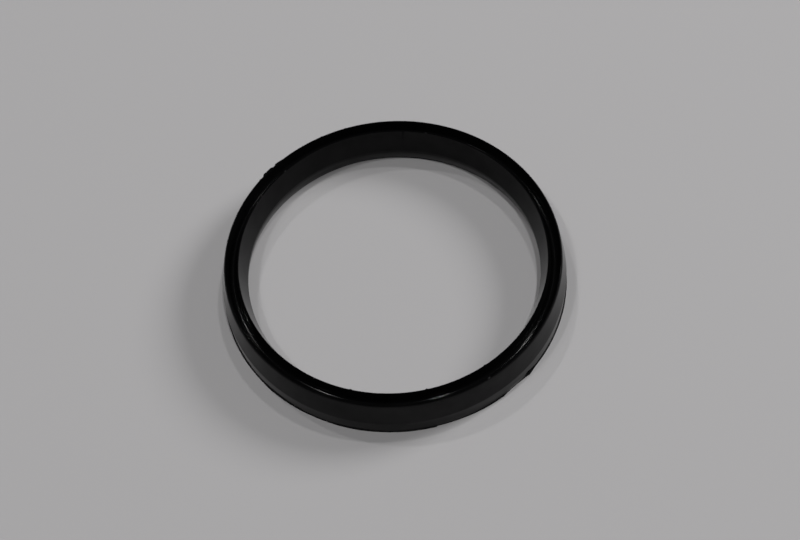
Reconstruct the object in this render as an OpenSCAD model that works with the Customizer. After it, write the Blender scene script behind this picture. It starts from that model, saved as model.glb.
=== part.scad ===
// Moulded rubber dust seal for a steering head bearing: one ring with two lips
// on top, a groove between them, a narrow throat that grips a collar, and a flat foot.

/* [Ring] */
// Height from the resting face to the tips of the lips
ring_h = 6.8; // [6:0.1:9]
// Bore of the narrow land in the throat
throat_d = 46.8; // [20:0.1:90]

/* [Throat] */
// Length of the land along the axis
throat_land = 0.5; // [0.3:0.05:0.9]
// Height of the land's middle above the resting face
throat_z = 2.55; // [1.6:0.05:3]
// Radius on the land's upper edge
throat_edge_r = 0.3; // [0.1:0.05:0.6]
// How far the resting face is set back from the throat, by a curve
undercut = 0.7; // [0.4:0.05:1]
// Lean of the undercut where it leaves the land, in degrees
undercut_lean = 8; // [2:1:10]

/* [Foot] */
// How far the upright outer wall stands outside the outer lip's tip
foot_flare = 1.0; // [0.4:0.05:2]
// Height of the upright wall, up to the soft kink where the taper begins
foot_h = 2.55; // [1.6:0.05:3.4]
// Radius of the soft kink
kink_r = 1.5; // [0.4:0.1:3]

/* [Lips] */
// How far the inner lip's tip stands outside the throat
lip_set = 1.1; // [0.5:0.05:2]
// Distance from the inner lip's tip to the outer lip's tip
lip_span = 2.0; // [1.6:0.05:3]
// Width of the outer lip's flat tip
outer_tip_w = 0.05; // [0.04:0.01:0.16]
// Width of the outer lip's round shoulder
outer_shoulder_w = 0.22; // [0.14:0.02:0.4]
// Drop of the outer lip's shoulder below its tip
outer_shoulder_drop = 0.14; // [0.06:0.02:0.2]
// Width of the inner lip's flat tip
inner_tip_w = 0.08; // [0.04:0.01:0.16]
// Width of the inner lip's round shoulder
inner_shoulder_w = 0.07; // [0.04:0.01:0.2]
// Drop of the inner lip's shoulder below its tip
inner_shoulder_drop = 0.06; // [0.03:0.01:0.12]

/* [Groove] */
// Depth of the groove below the tips
groove_depth = 1.8; // [1:0.1:2.6]
// Radius of the groove's floor
groove_floor_r = 0.5; // [0.15:0.05:0.5]

/* [Mould flash] */
// Width of the thin fin of flash left round the foot
flash_w = 0.15; // [0.05:0.05:0.5]
// Thickness of the fin
flash_t = 0.15; // [0.05:0.05:0.3]
// Height of the cut where the fin is gone
gap_h = 0.3; // [0.3:0.05:0.6]
// Angle at which the trimmed stretch starts
trim_from = 279; // [0:1:359]
// Sweep of the trimmed stretch
trim_sweep = 12; // [2:1:20]
// How far the trim bites into the foot
trim_bite = 0.05; // [0.05:0.05:0.2]
// Angle at which the torn stretch starts
tear_from = 302; // [0:1:359]
// Sweep of the torn stretch
tear_sweep = 12; // [2:1:20]
// How far the tear bites into the foot
tear_bite = 0.15; // [0.05:0.05:0.3]

/* [Hidden] */
$fn = 180;
throat_x = throat_d / 2;
rest_x = throat_x + undercut;
inner_tip_x = throat_x + lip_set;
outer_tip_x = inner_tip_x + lip_span;
foot_x = outer_tip_x + foot_flare;
land_low = throat_z - throat_land / 2;
land_high = throat_z + throat_land / 2;
// The groove's mouth runs from the back of one lip's tip to the back of the other's
mouth_in_x = inner_tip_x + inner_tip_w;
mouth_out_x = outer_tip_x - outer_tip_w;
half_mouth = (mouth_out_x - mouth_in_x) / 2;
// The groove's sides touch its round floor, and would meet at a point below it
floor_drop = groove_depth - groove_floor_r;
side_lean = atan(half_mouth / floor_drop) - asin(groove_floor_r / norm([half_mouth, floor_drop]));
sides_meet = [mouth_in_x + half_mouth, ring_h - half_mouth / tan(side_lean)];
// The undercut is an arc from the land to the resting face, so its two tangents are equally long
undercut_turn = atan(undercut / land_low) - undercut_lean;
undercut_reach = norm([undercut, land_low]) / (2 * cos(undercut_turn));
// A round that fills a short edge takes up this share of it
round_share = 0.95;
// Cuts reach this far past the faces that they open
past = 0.5;
// Largest turn between two points of an arc, in degrees
arc_step = 8;

function unit(v) = v / norm(v);

function turned(v, angle) = [v.x * cos(angle) - v.y * sin(angle), v.x * sin(angle) + v.y * cos(angle)];

// Half of the angle at corner p, between its neighbours a and b
function half_angle(a, p, b) = acos(unit(a - p) * unit(b - p)) / 2;

// Radius of the round at corner p that fills the shorter of its two edges
function filling_r(a, p, b) = round_share * min(norm(a - p), norm(b - p)) * tan(half_angle(a, p, b));

// Points of the round of radius r at corner p, between its neighbours a and b
function corner_round(a, p, b, r) =
    let (
        to_a = unit(a - p),
        to_b = unit(b - p),
        half = half_angle(a, p, b),
        left_turn = to_b.x * to_a.y - to_b.y * to_a.x > 0,
        sweep = (180 - 2 * half) * (left_turn ? 1 : -1),
        steps = ceil(abs(sweep) / arc_step),
        centre = p + unit(to_a + to_b) * r / sin(half),
        start = p + to_a * r / tan(half) - centre
    )
    r == 0 ? [p] : [for (i = [0 : steps]) centre + turned(start, sweep * i / steps)];

// Outline whose corners are [x, y, radius], each rounded by its radius
function rounded(corners) =
    let (
        n = len(corners),
        points = [for (c = corners) [c.x, c.y]]
    )
    [
        for (i = [0 : n - 1])
            each corner_round(points[(i + n - 1) % n], points[i], points[(i + 1) % n], corners[i].z)
    ];

// Half of the ring's section, anticlockwise from the resting face's inner edge
module section() {
    rest_edge = [rest_x, 0];
    kink = [foot_x, foot_h];
    outer_tip = [outer_tip_x, ring_h];
    outer_shoulder = outer_tip + [outer_shoulder_w, -outer_shoulder_drop];
    inner_tip = [inner_tip_x, ring_h];
    inner_shoulder = inner_tip + [-inner_shoulder_w, -inner_shoulder_drop];
    land_top = [throat_x, land_high];
    land_foot = [throat_x, land_low];
    undercut_bend = land_foot + undercut_reach * [sin(undercut_lean), -cos(undercut_lean)];
    polygon(rounded([
        [rest_edge.x, rest_edge.y, 0],
        [foot_x + flash_w, 0, 0],
        [foot_x + flash_w, flash_t, 0],
        [foot_x, flash_t, 0],
        [kink.x, kink.y, kink_r],
        [outer_shoulder.x, outer_shoulder.y, filling_r(kink, outer_shoulder, outer_tip)],
        [outer_tip.x, outer_tip.y, 0],
        [mouth_out_x, ring_h, 0],
        [sides_meet.x, sides_meet.y, groove_floor_r],
        [mouth_in_x, ring_h, 0],
        [inner_tip.x, inner_tip.y, 0],
        [inner_shoulder.x, inner_shoulder.y, filling_r(inner_tip, inner_shoulder, land_top)],
        [land_top.x, land_top.y, throat_edge_r],
        [land_foot.x, land_foot.y, 0],
        [undercut_bend.x, undercut_bend.y, filling_r(land_foot, undercut_bend, rest_edge)]
    ]));
}

// What is gone from the foot over one stretch of flash
module flash_gap(start, sweep, bite) {
    rotate([0, 0, start])
        rotate_extrude(angle = sweep)
            translate([foot_x - bite, -past])
                square([bite + flash_w + past, past + gap_h]);
}

module seal_ring() {
    color([0.06, 0.06, 0.065])
        difference() {
            rotate_extrude()
                section();
            flash_gap(trim_from, trim_sweep, trim_bite);
            flash_gap(tear_from, tear_sweep, tear_bite);
        }
}

seal_ring();
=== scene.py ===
import math

import bmesh
import bpy
from mathutils import Matrix, Vector, noise


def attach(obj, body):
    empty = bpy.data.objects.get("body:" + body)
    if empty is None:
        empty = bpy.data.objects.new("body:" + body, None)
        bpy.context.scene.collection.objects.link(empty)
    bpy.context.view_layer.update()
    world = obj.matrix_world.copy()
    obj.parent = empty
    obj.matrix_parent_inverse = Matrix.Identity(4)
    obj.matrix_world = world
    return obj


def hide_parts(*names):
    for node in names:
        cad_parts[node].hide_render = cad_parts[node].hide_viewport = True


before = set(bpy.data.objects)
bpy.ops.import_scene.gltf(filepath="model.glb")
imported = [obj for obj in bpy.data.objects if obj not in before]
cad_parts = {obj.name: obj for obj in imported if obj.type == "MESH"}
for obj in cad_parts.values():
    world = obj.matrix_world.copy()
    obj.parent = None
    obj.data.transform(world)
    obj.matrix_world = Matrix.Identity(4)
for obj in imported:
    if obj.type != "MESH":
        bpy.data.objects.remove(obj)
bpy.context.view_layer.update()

# Seal ring: one piece of black nitrile rubber, moulded in one shot in a two-part mould.
# Two lips with a groove between them on top, a throat that grips a collar, and a flat foot.
# The mould left a thin fin of flash round the foot, trimmed off and torn off over two stretches.
MM = 0.001
RING_H = 6.8
THROAT_R, LAND_LOW, LAND_HIGH, THROAT_EDGE_R = 23.4, 2.3, 2.8, 0.3
REST_R = 24.0
UNDERCUT_LEAN = math.radians(8)
FOOT_R, FOOT_H, KINK_R = 27.5, 2.55, 1.5
FLASH_W, FLASH_T = 0.15, 0.15
TEAR_TOP = 0.45
INNER_LIP_R, INNER_LIP_W = 24.5, 0.08
OUTER_LIP_R, OUTER_LIP_W = 26.5, 0.05
INNER_SHOULDER, INNER_SHOULDER_R = (24.43, 6.74), 0.28
OUTER_SHOULDER, OUTER_SHOULDER_R = (26.72, 6.66), 0.55
GROOVE_DEPTH, GROOVE_FLOOR_R = 1.8, 0.5
# A round that fills a short edge takes up this share of it
ROUND_SHARE = 0.95
STEPS = 960

# The groove's straight sides touch its round floor, and run on to a level line through its bottom
mouth_in, mouth_out = INNER_LIP_R + INNER_LIP_W, OUTER_LIP_R - OUTER_LIP_W
half_mouth = (mouth_out - mouth_in) / 2
floor_drop = GROOVE_DEPTH - GROOVE_FLOOR_R
side_lean = math.atan2(half_mouth, floor_drop)
side_lean -= math.asin(GROOVE_FLOOR_R / math.hypot(half_mouth, floor_drop))
floor_set = GROOVE_DEPTH * math.tan(side_lean)
floor_z = RING_H - GROOVE_DEPTH
floor_in, floor_out = (mouth_in + floor_set, floor_z), (mouth_out - floor_set, floor_z)
# The undercut is an arc that leaves the land at a lean, so its two tangents are equally long
undercut_turn = math.atan2(REST_R - THROAT_R, LAND_LOW) - UNDERCUT_LEAN
undercut_reach = math.hypot(REST_R - THROAT_R, LAND_LOW) / (2 * math.cos(undercut_turn))
undercut_bend = (THROAT_R + undercut_reach * math.sin(UNDERCUT_LEAN),
                 LAND_LOW - undercut_reach * math.cos(UNDERCUT_LEAN))
undercut_r = ROUND_SHARE * undercut_reach / math.tan(undercut_turn)


def on_wall(start, end, *shares):
    """Plain corners part of the way along a straight wall, so that small marks on it stay small."""
    (r, z), (end_r, end_z) = start, end
    return [(r + (end_r - r) * share, z + (end_z - z) * share, 0, 0) for share in shares]


# Corners of the section in mm, as (radius from the axis, height, radius of the rounding, its segments)
SECTION = [
    (REST_R, 0, 0, 0),
    (FOOT_R + FLASH_W, 0, 0, 0),
    (FOOT_R + FLASH_W, FLASH_T, 0, 0),
    (FOOT_R, FLASH_T, 0, 0),
    (FOOT_R, TEAR_TOP, 0, 0),
    *on_wall((FOOT_R, TEAR_TOP), (FOOT_R, FOOT_H), 0.4, 0.5, 0.6, 0.7),
    (FOOT_R, FOOT_H, KINK_R, 8),
    *on_wall((FOOT_R, FOOT_H), OUTER_SHOULDER, 0.5, 0.85),
    (*OUTER_SHOULDER, OUTER_SHOULDER_R, 10),
    (OUTER_LIP_R, RING_H, 0, 0),
    (mouth_out, RING_H, 0, 0),
    *on_wall((mouth_out, RING_H), floor_out, 0.1),
    (*floor_out, GROOVE_FLOOR_R, 10),
    (*floor_in, GROOVE_FLOOR_R, 10),
    *on_wall(floor_in, (mouth_in, RING_H), 0.9),
    (mouth_in, RING_H, 0, 0),
    (INNER_LIP_R, RING_H, 0, 0),
    (*INNER_SHOULDER, INNER_SHOULDER_R, 6),
    *on_wall(INNER_SHOULDER, (THROAT_R, LAND_HIGH), 0.06, 0.15, 0.5),
    (THROAT_R, LAND_HIGH, THROAT_EDGE_R, 6),
    (THROAT_R, LAND_LOW, 0, 0),
    (*undercut_bend, undercut_r, 10),
]

bm = bmesh.new()
corners = [bm.verts.new((r, 0, z)) for r, z, _, _ in SECTION]
bm.faces.new(corners)
places = [Vector((r, 0, z)) for r, z, _, _ in SECTION]
for i, (_, _, rounding, segments) in enumerate(SECTION):
    if rounding:
        back, onward = places[i - 1] - places[i], places[(i + 1) % len(places)] - places[i]
        offset = rounding / math.tan(back.angle(onward) / 2)
        bmesh.ops.bevel(bm, geom=[corners[i]], offset=offset, offset_type="OFFSET", segments=segments,
                        profile=0.5, affect="VERTICES", material=-1, clamp_overlap=False)
bmesh.ops.delete(bm, geom=bm.faces[:], context="FACES_ONLY")
bmesh.ops.spin(bm, geom=bm.verts[:] + bm.edges[:], cent=(0, 0, 0), axis=(0, 0, 1),
               angle=math.tau, steps=STEPS, use_merge=True, use_duplicate=False)
bmesh.ops.remove_doubles(bm, verts=bm.verts[:], dist=0.001)
bmesh.ops.recalc_face_normals(bm, faces=bm.faces[:])


def wobble(azimuth, waves, seed):
    """Smooth random value, from about -1 to 1, that goes round the ring without a seam."""
    turn = math.radians(azimuth)
    return noise.noise(Vector((waves * math.cos(turn), waves * math.sin(turn), seed)))


def lump(azimuth, middle, half_width):
    """A rounded lump in azimuth: 1 in its middle, 0 outside."""
    off = ((azimuth - middle + 180) % 360 - 180) / half_width
    return (1 - off * off) ** 2 if abs(off) < 1 else 0.0


# The fin of flash: its width in mm, and the azimuths where it is trimmed, grown again, torn and whole
FIN_W, FIN_WAVE, FIN_RIPPLE = 0.13, 0.05, 0.02
TRIM_FROM, TRIM_TO, TRIM_GROWN, TRIM_W = 278.9, 287.0, 295.0, 0.015
TEAR_FROM, TEAR_TO, FIN_WHOLE = 302.3, 314.2, 320.0
TEAR_LEFT_W, TEAR_RIGHT_W, TEAR_DIP = 0.17, 0.3, 0.3
TEAR_WAVE, TEAR_RIPPLE = 0.04, 0.02


def fin_width(azimuth):
    """How far the fin of flash stands out from the foot. It is below zero where the tear bites in."""
    width = FIN_W + FIN_WAVE * wobble(azimuth, 5, 1) + FIN_RIPPLE * wobble(azimuth, 40, 2)
    if TRIM_FROM < azimuth < TRIM_GROWN:
        width = TRIM_W + (width - TRIM_W) * max(0, (azimuth - TRIM_TO) / (TRIM_GROWN - TRIM_TO))
    elif TEAR_FROM < azimuth < TEAR_TO:
        along = (azimuth - TEAR_FROM) / (TEAR_TO - TEAR_FROM)
        edge = TEAR_LEFT_W + (TEAR_RIGHT_W - TEAR_LEFT_W) * along - TEAR_DIP * 4 * along * (1 - along)
        width = edge + TEAR_WAVE * wobble(azimuth, 60, 3) + TEAR_RIPPLE * wobble(azimuth, 150, 4)
    elif TEAR_TO <= azimuth < FIN_WHOLE:
        width += (TEAR_RIGHT_W - width) * ((FIN_WHOLE - azimuth) / (FIN_WHOLE - TEAR_TO)) ** 2
    return width


# Edge of the flash left on the outer lip, as (azimuth, how far it stands out in mm)
LIP_FLASH = [
    (102.0, 0), (102.6, 0.07), (103.2, 0),
    (111.2, 0), (111.8, 0.08), (112.4, 0),
    (128.2, 0), (129.6, 0.1), (131.2, 0.18), (131.6, 0.2), (131.9, 0),
    (133.2, 0), (133.6, 0.2), (135.6, 0.21), (136.1, 0.14), (136.5, 0.24), (137.5, 0.26), (137.9, 0),
    (139.4, 0), (139.8, 0.12), (140.2, 0),
]


def flash_out(azimuth):
    """How far the flash stands out from the outer lip at an azimuth."""
    for (before, low), (after, high) in zip(LIP_FLASH, LIP_FLASH[1:]):
        if before <= azimuth < after:
            return low + (high - low) * (azimuth - before) / (after - before)
    return 0.0


# Lumps on the inner lip, as (azimuth, half width in degrees, how far it stands out in mm)
INNER_NIBS = [(250.5, 0.7, 0.1), (277.4, 0.6, 0.14), (300.0, 0.6, 0.1)]
# A smear down from the inner lip: its azimuth, half width in degrees and share of the gloss taken
SMEAR_AT, SMEAR_HALF, SMEAR_SHARE = 81.2, 0.75, 0.5
# Stretches of the groove and the inner lip that are dull with bloom, given in the same way
BLOOM = [
    (14.0, 40.0, 0.65), (62.0, 40.0, 0.75), (138.0, 34.0, 0.85), (176.0, 22.0, 0.6),
    (229.0, 12.0, 0.8),
]
# Scuffed places and two painted highlights, as (azimuth, radius from the axis, height, size in mm,
# strength)
SCUFFS_AND_GLINTS = [
    (72.2, 24.43, 6.76, 0.16, 0.5),
    (131.4, 24.43, 6.76, 0.18, 0.5),
    # The next two are painted highlights: pale spots standing in for a lamp's glints in the groove floor,
    # seen just over the inner lip
    (145.6, 24.46, 6.76, 0.17, 0.6),
    (149.0, 24.46, 6.76, 0.17, 0.55),
    (159.0, 26.56, 6.76, 0.16, 0.6),
    (213.8, 27.5, 1.4, 0.18, 0.4),
    (214.6, 27.5, 1.7, 0.22, 0.6),
    (298.4, 26.62, 6.74, 0.24, 0.45),
]
# Each mark fades in upwards, from a height and over a length, both in mm
LIP_FLASH_FADE = 6.2, 0.4
NIB_FADE = 6.4, 0.3
SMEAR_FADE = 4.5, 1.5
# The fin's outer face leans in by this much, and its root goes in where the fin is narrower than this
FIN_LEAN, FIN_ROOT = 0.03, 0.045
BLOOM_FROM_R = INNER_LIP_R - 0.08
NEAR = 0.01


def fade_in(height, start, length):
    """0 below the start of a mark, rising to 1 over its length."""
    return min(1, max(0, (height - start) / length))


scuff_and_glint_layer = bm.verts.layers.float.new("scuff_and_glint")
flash_layer = bm.verts.layers.float.new("flash")
bloom_layer = bm.verts.layers.float.new("bloom")
for vert in bm.verts:
    radius, height = math.hypot(vert.co.x, vert.co.y), vert.co.z
    azimuth = math.degrees(math.atan2(vert.co.y, vert.co.x)) % 360
    moved = radius
    if radius > FOOT_R + FLASH_W / 2:
        moved = FOOT_R + fin_width(azimuth) - FIN_LEAN * height / FLASH_T
        vert[flash_layer] = 1.0
    elif radius > FOOT_R - NEAR and height < FLASH_T + NEAR:
        moved = min(FOOT_R, FOOT_R + fin_width(azimuth) - FIN_ROOT)
        vert[flash_layer] = 1.0
    elif radius > mouth_out - NEAR:
        moved = radius + fade_in(height, *LIP_FLASH_FADE) * flash_out(azimuth)
    elif radius < mouth_in + NEAR:
        rise = sum(out * lump(azimuth, middle, half) for middle, half, out in INNER_NIBS)
        moved = radius - fade_in(height, *NIB_FADE) * rise
    if BLOOM_FROM_R < radius < floor_out[0]:
        vert[bloom_layer] = sum(share * lump(azimuth, middle, half) for middle, half, share in BLOOM)
    elif radius < INNER_LIP_R:
        smear = SMEAR_SHARE * lump(azimuth, SMEAR_AT, SMEAR_HALF)
        vert[bloom_layer] = smear * fade_in(height, *SMEAR_FADE)
    # Pale spots for the scuffs, and for the two painted highlights on the inner lip's edge
    for middle, at_radius, at_height, size, strength in SCUFFS_AND_GLINTS:
        away = math.radians((azimuth - middle + 180) % 360 - 180) * radius
        reach = math.sqrt(away ** 2 + (radius - at_radius) ** 2 + (height - at_height) ** 2) / size
        vert[scuff_and_glint_layer] = max(vert[scuff_and_glint_layer], strength * max(0, 1 - reach))
    vert.co.x *= moved / radius
    vert.co.y *= moved / radius
bmesh.ops.scale(bm, vec=(MM, MM, MM), verts=bm.verts[:])

SHARP = math.radians(25)
for face in bm.faces:
    face.smooth = True
for edge in bm.edges:
    if edge.calc_face_angle() > SHARP:
        edge.smooth = False
ring_mesh = bpy.data.meshes.new("seal_ring_rubber")
bm.to_mesh(ring_mesh)
bm.free()
ring = bpy.data.objects.new("seal_ring_rubber", ring_mesh)
bpy.context.collection.objects.link(ring)

rubber = bpy.data.materials.new("black_nitrile_rubber")
rubber.use_nodes = True
nodes, links = rubber.node_tree.nodes, rubber.node_tree.links
shader = nodes["Principled BSDF"]
shader.inputs["IOR"].default_value = 1.22
place = nodes.new("ShaderNodeTexCoord")


def cloud(scale, detail):
    """Cloudy noise that is fixed to the ring."""
    texture = nodes.new("ShaderNodeTexNoise")
    texture.inputs["Scale"].default_value = scale
    texture.inputs["Detail"].default_value = detail
    links.new(place.outputs["Object"], texture.inputs["Vector"])
    return texture.outputs["Fac"]


def spread(value, low, high, start=0.0, end=1.0):
    """A value from start to end, spread from low to high."""
    remap = nodes.new("ShaderNodeMapRange")
    remap.inputs["From Min"].default_value = start
    remap.inputs["From Max"].default_value = end
    remap.inputs["To Min"].default_value = low
    remap.inputs["To Max"].default_value = high
    links.new(value, remap.inputs["Value"])
    return remap.outputs["Result"]


def mark(name):
    """How strongly the ring is marked at a point, from the layer of that name."""
    attribute = nodes.new("ShaderNodeAttribute")
    attribute.attribute_name = name
    return attribute.outputs["Fac"]


def joined(operation, one, other):
    """Two values joined by one operation."""
    step = nodes.new("ShaderNodeMath")
    step.operation = operation
    links.new(one, step.inputs[0])
    links.new(other, step.inputs[1])
    return step.outputs["Value"]


# The black is cloudy, and scuffs show the paler rubber below the moulded skin; two of these pale spots,
# on the inner lip's edge, are painted highlights standing in for a lamp's glints
blacks = nodes.new("ShaderNodeValToRGB")
blacks.color_ramp.elements[0].position = 0.3
blacks.color_ramp.elements[0].color = (0.0016, 0.0016, 0.0017, 1)
blacks.color_ramp.elements[1].position = 0.75
blacks.color_ramp.elements[1].color = (0.0028, 0.0028, 0.003, 1)
links.new(cloud(260, 5), blacks.inputs["Fac"])
scuff_and_glint_mix = nodes.new("ShaderNodeMix")
scuff_and_glint_mix.data_type = "RGBA"
links.new(mark("scuff_and_glint"), scuff_and_glint_mix.inputs["Factor"])
links.new(blacks.outputs["Color"], scuff_and_glint_mix.inputs["A"])
scuff_and_glint_mix.inputs["B"].default_value = (0.07, 0.07, 0.072, 1)
links.new(scuff_and_glint_mix.outputs["Result"], shader.inputs["Base Color"])
# Bloom and the smear take gloss away, and flash, scuffs and the painted highlight spots are rougher than
# the skin
gloss = spread(cloud(420, 4), 0.4, 0.52, 0.3, 0.7)
links.new(joined("MULTIPLY", gloss, spread(mark("bloom"), 1.0, 0.0)), shader.inputs["Specular IOR Level"])
skin = spread(cloud(900, 3), 0.085, 0.105, 0.3, 0.7)
skin_or_flash = joined("MAXIMUM", skin, spread(mark("flash"), 0.0, 0.5))
links.new(joined("MAXIMUM", skin_or_flash, mark("scuff_and_glint")), shader.inputs["Roughness"])
grain = nodes.new("ShaderNodeBump")
grain.inputs["Strength"].default_value = 0.08
grain.inputs["Distance"].default_value = 0.00002
links.new(cloud(3200, 2), grain.inputs["Height"])
links.new(grain.outputs["Normal"], shader.inputs["Normal"])
ring_mesh.materials.append(rubber)
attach(ring, "root")
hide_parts("seal_ring")

# Floor: a plain sheet of pale grey board that the ring lies on, lit from above.
# It is only the stage, and takes the ring's shadow.
FLOOR_HALF = 3.0
floor_bm = bmesh.new()
bmesh.ops.create_grid(floor_bm, x_segments=1, y_segments=1, size=FLOOR_HALF)
floor_mesh = bpy.data.meshes.new("floor")
floor_bm.to_mesh(floor_mesh)
floor_bm.free()
floor = bpy.data.objects.new("floor", floor_mesh)
bpy.context.collection.objects.link(floor)
board = bpy.data.materials.new("pale_board")
board.use_nodes = True
board_shader = board.node_tree.nodes["Principled BSDF"]
board_shader.inputs["Base Color"].default_value = (0.42, 0.413, 0.417, 1)
board_shader.inputs["Roughness"].default_value = 0.9
board_shader.inputs["Specular IOR Level"].default_value = 0.0
floor_mesh.materials.append(board)

# Light: a large soft panel low on the right, a smaller one on the left, and lamps and two short
# tubes overhead. Each gives its share of the light on the floor, and the room above is dim.
FLOOR_LIGHT = 0.925
LAMP_AWAY = 1.5


def soft_lamp(name, zenith, azimuth, width, length, share):
    """A lamp aimed at the ring. Its length runs down from the zenith."""
    drop, turn = math.radians(zenith), math.radians(azimuth)
    towards = Vector((math.sin(drop) * math.cos(turn), math.sin(drop) * math.sin(turn), math.cos(drop)))
    data = bpy.data.lights.new(name, "AREA")
    data.shape = "ELLIPSE"
    data.size, data.size_y = width, length
    data.energy = (math.pi * LAMP_AWAY) ** 2 * share * FLOOR_LIGHT / math.cos(drop)
    lamp = bpy.data.objects.new(name, data)
    bpy.context.collection.objects.link(lamp)
    aim = towards.to_track_quat("Z", "Y").to_matrix().to_4x4()
    lamp.matrix_world = Matrix.Translation(towards * LAMP_AWAY) @ aim


soft_lamp("panel_right", 59, 25, 0.55, 0.55, 0.33)
soft_lamp("lamp_right", 24.3, 51, 0.07, 0.07, 0.13)
soft_lamp("lamp_left", 22, 195, 0.06, 0.06, 0.1)
soft_lamp("panel_left", 22, 187, 0.3, 0.3, 0.08)
soft_lamp("lamp_back_left", 31, 123, 0.06, 0.06, 0.1)
soft_lamp("lamp_front", 17, 303, 0.05, 0.05, 0.22)
soft_lamp("tube_right", 33, 60, 0.05, 0.5, 0.006)
soft_lamp("tube_left", 37, 118, 0.05, 0.3, 0.005)

# The room is dim overhead, and paler low down where its walls are
world = bpy.data.worlds.new("dim_room")
bpy.context.scene.world = world
world.use_nodes = True
room_nodes, room_links = world.node_tree.nodes, world.node_tree.links
direction = room_nodes.new("ShaderNodeTexCoord")
height_of = room_nodes.new("ShaderNodeSeparateXYZ")
room_links.new(direction.outputs["Generated"], height_of.inputs["Vector"])
room = room_nodes.new("ShaderNodeValToRGB")
room.color_ramp.elements[0].position = 0.04
room.color_ramp.elements[0].color = (0.36, 0.355, 0.36, 1)
room.color_ramp.elements[1].position = 0.3
room.color_ramp.elements[1].color = (0.045, 0.045, 0.047, 1)
room_links.new(height_of.outputs["Z"], room.inputs["Fac"])
room_links.new(room.outputs["Color"], room_nodes["Background"].inputs["Color"])

# Camera: where the photograph was taken from, rolled a little.
# It looks down at the ring from the front, with the ring's axis off the middle of the frame.
LIP_R = OUTER_LIP_R * MM
ELEVATION = math.radians(57.88)
ROLL = math.radians(5.667)
DISTANCE = 9.0
SIDE, RISE = -0.0363, 0.0937
FOCAL_PX, FRAME_PX, SENSOR = 1512.5, 800, 36.0

right = Vector((1, 0, 0))
up = Vector((0, math.sin(ELEVATION), math.cos(ELEVATION)))
ahead = Vector((0, math.cos(ELEVATION), -math.sin(ELEVATION)))
eye = (-SIDE * right - RISE * up - DISTANCE * ahead) * LIP_R + Vector((0, 0, RING_H * MM))
rolled_right = right * math.cos(ROLL) - up * math.sin(ROLL)
rolled_up = right * math.sin(ROLL) + up * math.cos(ROLL)
camera_data = bpy.data.cameras.new("camera")
camera_data.sensor_width = SENSOR
camera_data.lens = FOCAL_PX * SENSOR / FRAME_PX
camera_data.clip_start = 0.01
camera = bpy.data.objects.new("camera", camera_data)
bpy.context.collection.objects.link(camera)
facing = Matrix((rolled_right, rolled_up, -ahead)).transposed().to_4x4()
camera.matrix_world = Matrix.Translation(eye) @ facing
bpy.context.scene.camera = camera
bpy.context.scene.view_settings.view_transform = "Standard"
